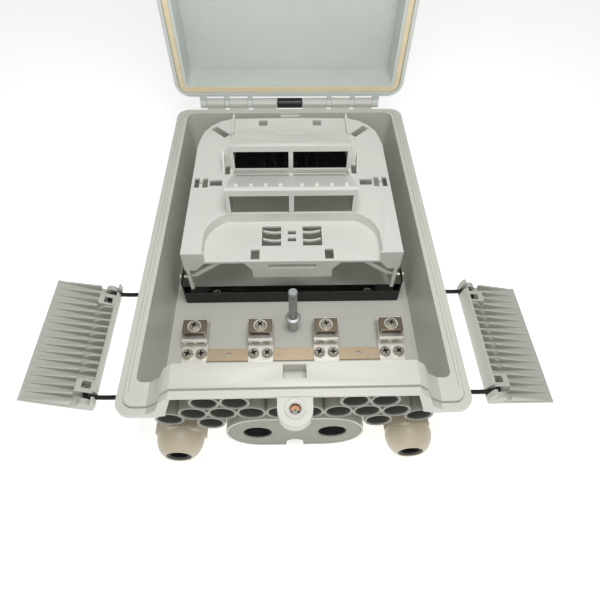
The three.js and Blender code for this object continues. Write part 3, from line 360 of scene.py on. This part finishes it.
def dress(node, material, bevel):
    """Shows a CAD node as a merged copy with softened edges."""
    bm = bmesh.new()
    bm.from_mesh(nodes[node].data)
    bmesh.ops.remove_doubles(bm, verts=bm.verts, dist=MERGE_COPY)
    bmesh.ops.dissolve_limit(bm, angle_limit=math.radians(FLATNESS), verts=bm.verts, edges=bm.edges,
                             use_dissolve_boundaries=False)
    piece = finish_piece(bm, node + "_skin", material, nodes[node]["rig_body"], bevel=bevel)
    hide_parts(node)


def spun(bm, profile, centre, axis, steps=32):
    """Adds a section turned about an axis. The section is (radius, along) in mm, in order.

    A section that starts on the axis is left open there and makes a solid. Any other is closed and makes a ring.
    """
    axis = Vector(axis).normalized()
    out = axis.orthogonal().normalized()
    centre = mm(*centre)
    ring = [bm.verts.new(centre + out * r * MM + axis * h * MM) for r, h in profile]
    pairs = list(zip(ring, ring[1:] + ring[:1]))
    if profile[0][0] == 0:
        pairs.pop()
    edges = [bm.edges.new(pair) for pair in pairs]
    bmesh.ops.spin(bm, geom=ring + edges, cent=centre, axis=axis, angle=2 * math.pi, steps=steps, use_merge=True)
    bmesh.ops.remove_doubles(bm, verts=bm.verts, dist=MERGE_SPUN)


def spun_piece(name, material, body, rings, smooth_below, bevel=0.0):
    """One piece made of spun sections: each is (profile, centre, axis, steps)."""
    bm = bmesh.new()
    for ring in rings:
        spun(bm, *ring)
    outward(bm)
    return finish_piece(bm, name, material, body, smooth_below, bevel)


def circle_edges(bm, verts):
    """The edges round a circle's vertices, in order."""
    return [bm.edges.get(pair) for pair in zip(verts, verts[1:] + verts[:1])]


def cut_across(bm, level, place, direction):
    """Cuts the faces that lie at or above a level along a plane."""
    touched = set()
    for face in bm.faces:
        if face.normal.z > 0.99 or face.calc_center_median().z > level:
            touched.update([face, *face.edges, *face.verts])
    ordered = [g for group in (bm.verts, bm.edges, bm.faces) for g in group if g in touched]
    bmesh.ops.bisect_plane(bm, geom=ordered, dist=0.0000001, plane_co=place, plane_no=direction)


def pan_screw(bm, x, y, seat, radius=4.4, height=2.5, turn=0.0):
    """A pan-head screw with a tapered cross recess, seen from above."""
    dome = ((1, 0), (1, 0.5), (0.94, 0.82), (0.8, 1))
    arm, half = radius * 0.58, radius * 0.15
    recess_depth, recess_taper = height * 0.8, 0.3
    skin = 0.00001

    loops = []
    for wide, high in dome:
        made = bmesh.ops.create_circle(bm, cap_ends=False, segments=28, radius=wide * radius * MM,
                                       matrix=Matrix.Translation(mm(x, y, seat + height * high)))
        loops.append(circle_edges(bm, made["verts"]))
    for a, b in zip(loops, loops[1:]):
        bmesh.ops.bridge_loops(bm, edges=a + b)
    bmesh.ops.contextual_create(bm, geom=loops[0])
    bmesh.ops.contextual_create(bm, geom=loops[-1])

    middle = mm(x, y, seat + height)
    spin = Matrix.Rotation(turn, 3, "Z")
    along, across = spin @ Vector((1, 0, 0)), spin @ Vector((0, 1, 0))
    for reach in (-arm, -half, half, arm):
        for direction in (along, across):
            cut_across(bm, middle.z - skin, middle + direction * reach * MM, direction)
    recess = []
    for face in bm.faces:
        spot = face.calc_center_median() - middle
        a, b = abs(spot.dot(along)) / MM, abs(spot.dot(across)) / MM
        if spot.z > -skin and ((a < arm and b < half) or (a < half and b < arm)):
            recess.append(face)
    grown = bmesh.ops.extrude_face_region(bm, geom=recess)["geom"]
    floor = [g for g in grown if isinstance(g, bmesh.types.BMVert)]
    bmesh.ops.translate(bm, verts=floor, vec=mm(0, 0, -recess_depth))
    bmesh.ops.scale(bm, verts=floor, vec=(recess_taper, recess_taper, 1), space=Matrix.Translation(-middle))
    bmesh.ops.delete(bm, geom=[f for f in recess if f.is_valid], context="FACES_ONLY")
    # The recess walls and floor take the second material, whose darker colour paints the shade in the recess.
    for vert in floor:
        for face in vert.link_faces:
            face.material_index = 1


def swept_rod(bm, points, radius, sides=14):
    """A round rod along a line of points, closed at both ends."""
    points = [mm(*p) for p in points]
    last = len(points) - 1
    loop = None
    for i, p in enumerate(points):
        ahead = (points[min(i + 1, last)] - points[max(i - 1, 0)]).normalized()
        turn = ahead.to_track_quat("Z", "Y").to_matrix().to_4x4()
        made = bmesh.ops.create_circle(bm, cap_ends=i in (0, last), segments=sides, radius=radius * MM,
                                       matrix=Matrix.Translation(p) @ turn)
        edges = circle_edges(bm, made["verts"])
        if loop:
            bmesh.ops.bridge_loops(bm, edges=loop + edges)
        loop = edges


# ---------------------------------------------------------------- the base and its entries

def port_places(side):
    """Centres of the eight drop-cable ports on one side, as (x, z)."""
    places = [(2 * PORT_PITCH, PORT_ROW_Z + PORT_RISE), (3 * PORT_PITCH, PORT_ROW_Z + PORT_RISE)]
    places += [(k * PORT_PITCH, PORT_ROW_Z) for k in (0.5, 1.5, 2.5, 3.5)]
    places += [(3 * PORT_PITCH, PORT_ROW_Z - PORT_RISE), LOW_OUTER_PORT]
    return [(side * x, z) for x, z in places]


def build_port_sleeves():
    """Round-lipped tubes over each drop-cable port, with a dark lining in each bore that paints the shade inside
    it.
    """
    lip = [(8.3, -0.2), (9.9, -0.2), (9.95, -17.0), (9.7, -17.5), (9.1, -17.75), (8.6, -17.6), (8.3, -17.2)]
    shade_lining = [(7.85, 3.4), (8.2, 3.4), (8.2, -16.6), (7.95, -16.9), (7.85, -16.6)]
    for label, side in SIDES:
        centres = [(x, PORT_WALL_Y, z) for x, z in port_places(side)]
        spun_piece(f"port_sleeves_{label}", PORTS, "base", [(lip, c, ALONG_Y, 32) for c in centres],
                   40)
        # A dark lining in every bore: painted shade.
        spun_piece(f"port_painted_shade_linings_{label}", PAINTED_SHADE_LINING, "base", [(shade_lining, c, ALONG_Y, 28) for c in centres],
                   40)


def build_gland_caps():
    """The smooth dome nuts with their hexagon collars, and the black rubber that shows in each mouth."""
    dome = [(13.3, 15.4), (16.6, 15.4), (16.7, 13.6), (16.5, 11), (15.8, 8), (14.6, 5.2), (12.8, 2.6),
            (11.0, 0.9), (9.8, 0.1), (9.1, 0.2), (8.8, 0.8), (8.8, 4.4), (10.9, 5), (13.3, 14)]
    collar = [(13.3, 14.4), (17.4, 14.4), (18.6, 15.6), (18.6, 25.8), (13.3, 25.8)]
    rubber = [(6.4, 1.6), (8.7, 0.7), (8.7, 4.0), (6.4, 4.0)]
    for label, side in SIDES:
        mouth = (side * GLAND_X, GLAND_MOUTH_Y, GLAND_Z)
        body = f"gland_cap_{label}"
        nut = spun_piece(f"gland_dome_{label}", NYLON, body,
                         [(dome, mouth, ALONG_Y, 48), (collar, mouth, ALONG_Y, 6)], 34, 0.5)
        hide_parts(f"gland_cap_{label}")
        spun_piece(f"gland_mouth_{label}", BLACK_RUBBER_AND_SHADE, body, [(rubber, mouth, ALONG_Y, 40)], 40)


def build_seal_shade_sleeves():
    """A dark sleeve in each cable hole of the big port, which paints the shade inside the hole."""
    shade_sleeve = [(9.7, -1.2), (10.5, -1.2), (10.5, -12.6), (9.7, -12.6)]
    holes = [(side * CABLE_HOLE_X, CABLE_HOLE_Y, CABLE_HOLE_Z) for _, side in SIDES]
    spun_piece("seal_shade_sleeves", BLACK_RUBBER_AND_SHADE, "base", [(shade_sleeve, hole, ALONG_Y, 36) for hole in holes], 40)


def build_lug_ring():
    """The raised ring on the base's front lug, and the turned copper insert inside it."""
    ring = [(3.5, -0.4), (6.6, -0.4), (6.6, 0.6), (6.1, 1.0), (4.6, 1.0), (4.0, 0.7), (3.5, 0.1)]
    insert = [(3.05, -8.2), (4.4, -8.2), (4.4, -0.9), (3.6, -0.7), (3.3, -0.6), (3.05, -1.2)]
    spun_piece("lug_ring", SHELL, "base", [(ring, LUG_TOP, ALONG_Z, 40)], 30)
    turned = spun_piece("lug_insert_turned", COPPER, "base", [(insert, LUG_TOP, ALONG_Z, 32)], 30)
    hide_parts("lug_insert")


# ---------------------------------------------------------------- clamps, post and screws

def seat_screw(name, node, x, y, seat, **shape):
    """A modelled screw whose recess is coloured darker as painted shade, in place of a CAD screw."""
    bm = bmesh.new()
    pan_screw(bm, x, y, seat, **shape)
    outward(bm)
    piece = finish_piece(bm, name, NICKEL, "base")
    piece.data.materials.append(RECESS_SHADE)
    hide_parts(node)


def build_screws():
    """Cross-recess pan screws on the clamps and the tray bracket, each turned its own way."""
    washer_gap = 0.3
    for number, x in enumerate(CLAMP_X, 1):
        seat_screw(f"cap_screw_head_{number}", f"clamp_cap_screw_{number}",
                   x, SADDLE_SCREW_Y, SADDLE_TOP + washer_gap, turn=0.3 + number)
        for tag, side in (("a", -1), ("b", 1)):
            seat_screw(f"foot_screw_head_{number}{tag}", f"clamp_foot_screw_{number}{tag}",
                       x + side * FOOT_SCREW_X, FOOT_SCREW_Y, FOOT_TOP, radius=4.7, turn=0.7 * number + side)
    for label, side in SIDES:
        seat_screw(f"bracket_screw_head_{label}", f"bracket_screw_{label}",
                   side * BRACKET_SCREW_X, BRACKET_SCREW_Y, BRACKET_TOP, turn=side * 0.5)


def build_clamp_rings():
    """The pressed ring round each saddle's screw."""
    ring = [(4.6, -0.3), (6.0, -0.3), (6.0, 0.3), (5.7, 0.6), (5.0, 0.6), (4.6, 0.3)]
    for number, x in enumerate(CLAMP_X, 1):
        spun_piece(f"clamp_ring_{number}", PLATE, "base",
                   [(ring, (x, SADDLE_SCREW_Y, SADDLE_TOP), ALONG_Z, 36)], 40)


def build_post():
    """The turned anchor post with its collar and capped screw."""
    post = [(0, 3.4), (4.4, 3.4), (4.4, 4.4), (3.8, 6), (3.4, 14), (3.6, 18.4), (6.4, 19.3), (6.6, 19.8),
            (6.6, 20.8), (6.3, 21.2), (3.9, 21.6), (3.6, 22.4), (3.6, 54.4), (3.2, 55), (0, 55)]
    cap = [(0, 55.4), (3.6, 55.4), (3.9, 55.7), (3.9, 57.2), (3.4, 57.9), (0, 58.0)]
    for name, section, node in (("anchor_post_turned", post, "anchor_post"),
                                ("anchor_post_cap", cap, "anchor_post_screw")):
        piece = spun_piece(name, ZINC, "base", [(section, POST_FOOT, ALONG_Z, 32)], 34)
        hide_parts(node)


# ---------------------------------------------------------------- latches

def build_wire_links():
    """The bent spring-wire links of both latches, the left one let out a little higher."""
    bends = [(0, 43.25, 0), (0, 49.2, 0), (0.35, 50.4, -0.1), (1.6, 50.75, -0.7), (5, 50.75, -2.4),
             (9, 50.75, -4.4), (16, 50.75, -6.6), (24, 50.75, -8.0), (32, 50.75, -8.5), (40, 50.75, -8.2),
             (45, 50.75, -7.5), (48.4, 50.75, -7.1), (49.5, 50.3, -7.0), (49.8, 49.2, -7.0), (49.8, 43.25, -7.0)]
    for (label, side), raised in zip(SIDES, (math.radians(2.3), 0.0)):
        for end, tag in ((-1, "near"), (1, "far")):
            line = []
            for out, along, z in bends:
                reach = out * math.cos(raised) - z * math.sin(raised)
                rise = out * math.sin(raised) + z * math.cos(raised)
                line.append((side * (LINK_X + reach), LINK_Y + end * along, LINK_Z + rise))
            bm = bmesh.new()
            swept_rod(bm, line, LINK_RADIUS)
            outward(bm)
            wire = finish_piece(bm, f"bent_wire_{label}_{tag}", WIRE, f"link_{label}", 50)
            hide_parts(f"wire_link_{label}_{tag}")


# ---------------------------------------------------------------- dressing of the CAD nodes

def dress_all():
    """The CAD nodes that keep their shape: node, material and width of the soft edges in mm."""
    dress("base_shell", SHELL, 0.5)
    dress("lid_shell", LID, 0.5)
    dress("lid_gasket", FOAM_STRIP, 0.4)
    dress("adapter_tray", TRAY, 0.3)
    # The splice cassette's black also paints the shade in the closed space under the tray deck.
    dress("splice_cassette", BLACK, 0.3)
    for label, _ in SIDES:
        dress(f"drop_ports_{label}", PORTS, 0.0)
        dress(f"latch_lever_{label}", LEVER, 0.3)
        dress(f"gland_body_{label}", NYLON, 0.4)
        dress(f"gland_nut_{label}", NYLON, 0.4)
        dress(f"gland_seal_{label}", BLACK, 0.2)
        dress(f"tray_pin_{label}", NICKEL, 0.2)
        dress(f"hinge_pin_{label}", NICKEL, 0.2)
    dress("cable_port_collar", SHELL, 0.5)
    dress("cable_port_seal", SEAL, 0.6)
    dress("tray_bracket", MIRROR, 0.3)
    dress("hinge_retainer", BLACK, 0.4)
    dress("fixing_strip", TINNED, 0.25)
    dress("lid_lock_screw", NICKEL, 0.3)
    for number in range(1, len(CLAMP_X) + 1):
        dress(f"clamp_foot_{number}", PLATE, 0.35)
        dress(f"clamp_cap_{number}", SADDLE, 0.4)


dress_all()
build_port_sleeves()
build_gland_caps()
build_seal_shade_sleeves()
build_lug_ring()
build_screws()
build_clamp_rings()
build_post()
build_wire_links()


# ---------------------------------------------------------------- floor, light and camera

def build_floor():
    """A plain pale floor just under the box, a little lit from itself so that it stays white."""
    half_size, drop, glow = 6.0, -0.0006, 0.55
    bm = bmesh.new()
    bmesh.ops.create_grid(bm, x_segments=1, y_segments=1, size=half_size)
    bmesh.ops.translate(bm, verts=bm.verts, vec=(0, 0, drop))
    mesh = bpy.data.meshes.new("floor")
    bm.to_mesh(mesh)
    bm.free()
    floor = bpy.data.objects.new("floor", mesh)
    bpy.context.scene.collection.objects.link(floor)
    material, tree, shader = start_material("pale_floor")
    cloud = noise(tree, object_place(tree), 3.0)
    link(tree, mix_colour(tree, cloud, (0.93, 0.93, 0.93, 1), (0.96, 0.96, 0.96, 1)), shader.inputs["Base Color"])
    shader.inputs["Roughness"].default_value = 0.9
    shader.inputs["Specular IOR Level"].default_value = 0.1
    shader.inputs["Emission Color"].default_value = (1, 1, 1, 1)
    shader.inputs["Emission Strength"].default_value = glow
    mesh.materials.append(material)


def area_light(name, place, aim, size, power):
    """A square soft light at a place, turned towards its aim, in metres and watts."""
    data = bpy.data.lights.new(name, "AREA")
    data.shape = "SQUARE"
    data.size = size
    data.energy = power
    lamp = bpy.data.objects.new(name, data)
    lamp.location = place
    lamp.rotation_euler = (Vector(aim) - Vector(place)).to_track_quat("-Z", "Y").to_euler()
    bpy.context.scene.collection.objects.link(lamp)


def build_light():
    """Even white surroundings, a soft light over the box and a wide one in front of it."""
    world = bpy.data.worlds.new("studio")
    world.use_nodes = True
    sky = world.node_tree.nodes["Background"]
    sky.inputs["Color"].default_value = (1, 1, 1, 1)
    sky.inputs["Strength"].default_value = 0.32
    bpy.context.scene.world = world
    bpy.context.scene.view_settings.view_transform = "Standard"
    area_light("key", place=(0.03, -0.13, 0.54), aim=(0, 0, 0.05), size=0.26, power=1.6)
    area_light("front", place=(0, -0.75, 0.5), aim=(0, 0, 0.1), size=0.5, power=1.1)


def build_camera():
    """The camera in front and above, looking down into the open box."""
    place = Vector((-0.00208, -0.2915, 0.3612))
    down, turn, roll = math.radians(54.483), math.radians(2.017), math.radians(0.895)
    sensor, lens, nearest = 36.0, 28.18, 0.01
    ahead = Vector((math.sin(turn) * math.cos(down), math.cos(turn) * math.cos(down), -math.sin(down)))
    right = ahead.cross(Vector((0, 0, 1))).normalized()
    up = right.cross(ahead)
    x_axis = right * math.cos(roll) + up * math.sin(roll)
    y_axis = -right * math.sin(roll) + up * math.cos(roll)
    data = bpy.data.cameras.new("camera")
    data.sensor_width = sensor
    data.lens = lens
    data.clip_start = nearest
    camera = bpy.data.objects.new("camera", data)
    camera.matrix_world = Matrix((
        (x_axis.x, y_axis.x, -ahead.x, place.x),
        (x_axis.y, y_axis.y, -ahead.y, place.y),
        (x_axis.z, y_axis.z, -ahead.z, place.z),
        (0, 0, 0, 1)))
    bpy.context.scene.collection.objects.link(camera)
    bpy.context.scene.camera = camera


build_floor()
build_light()
build_camera()
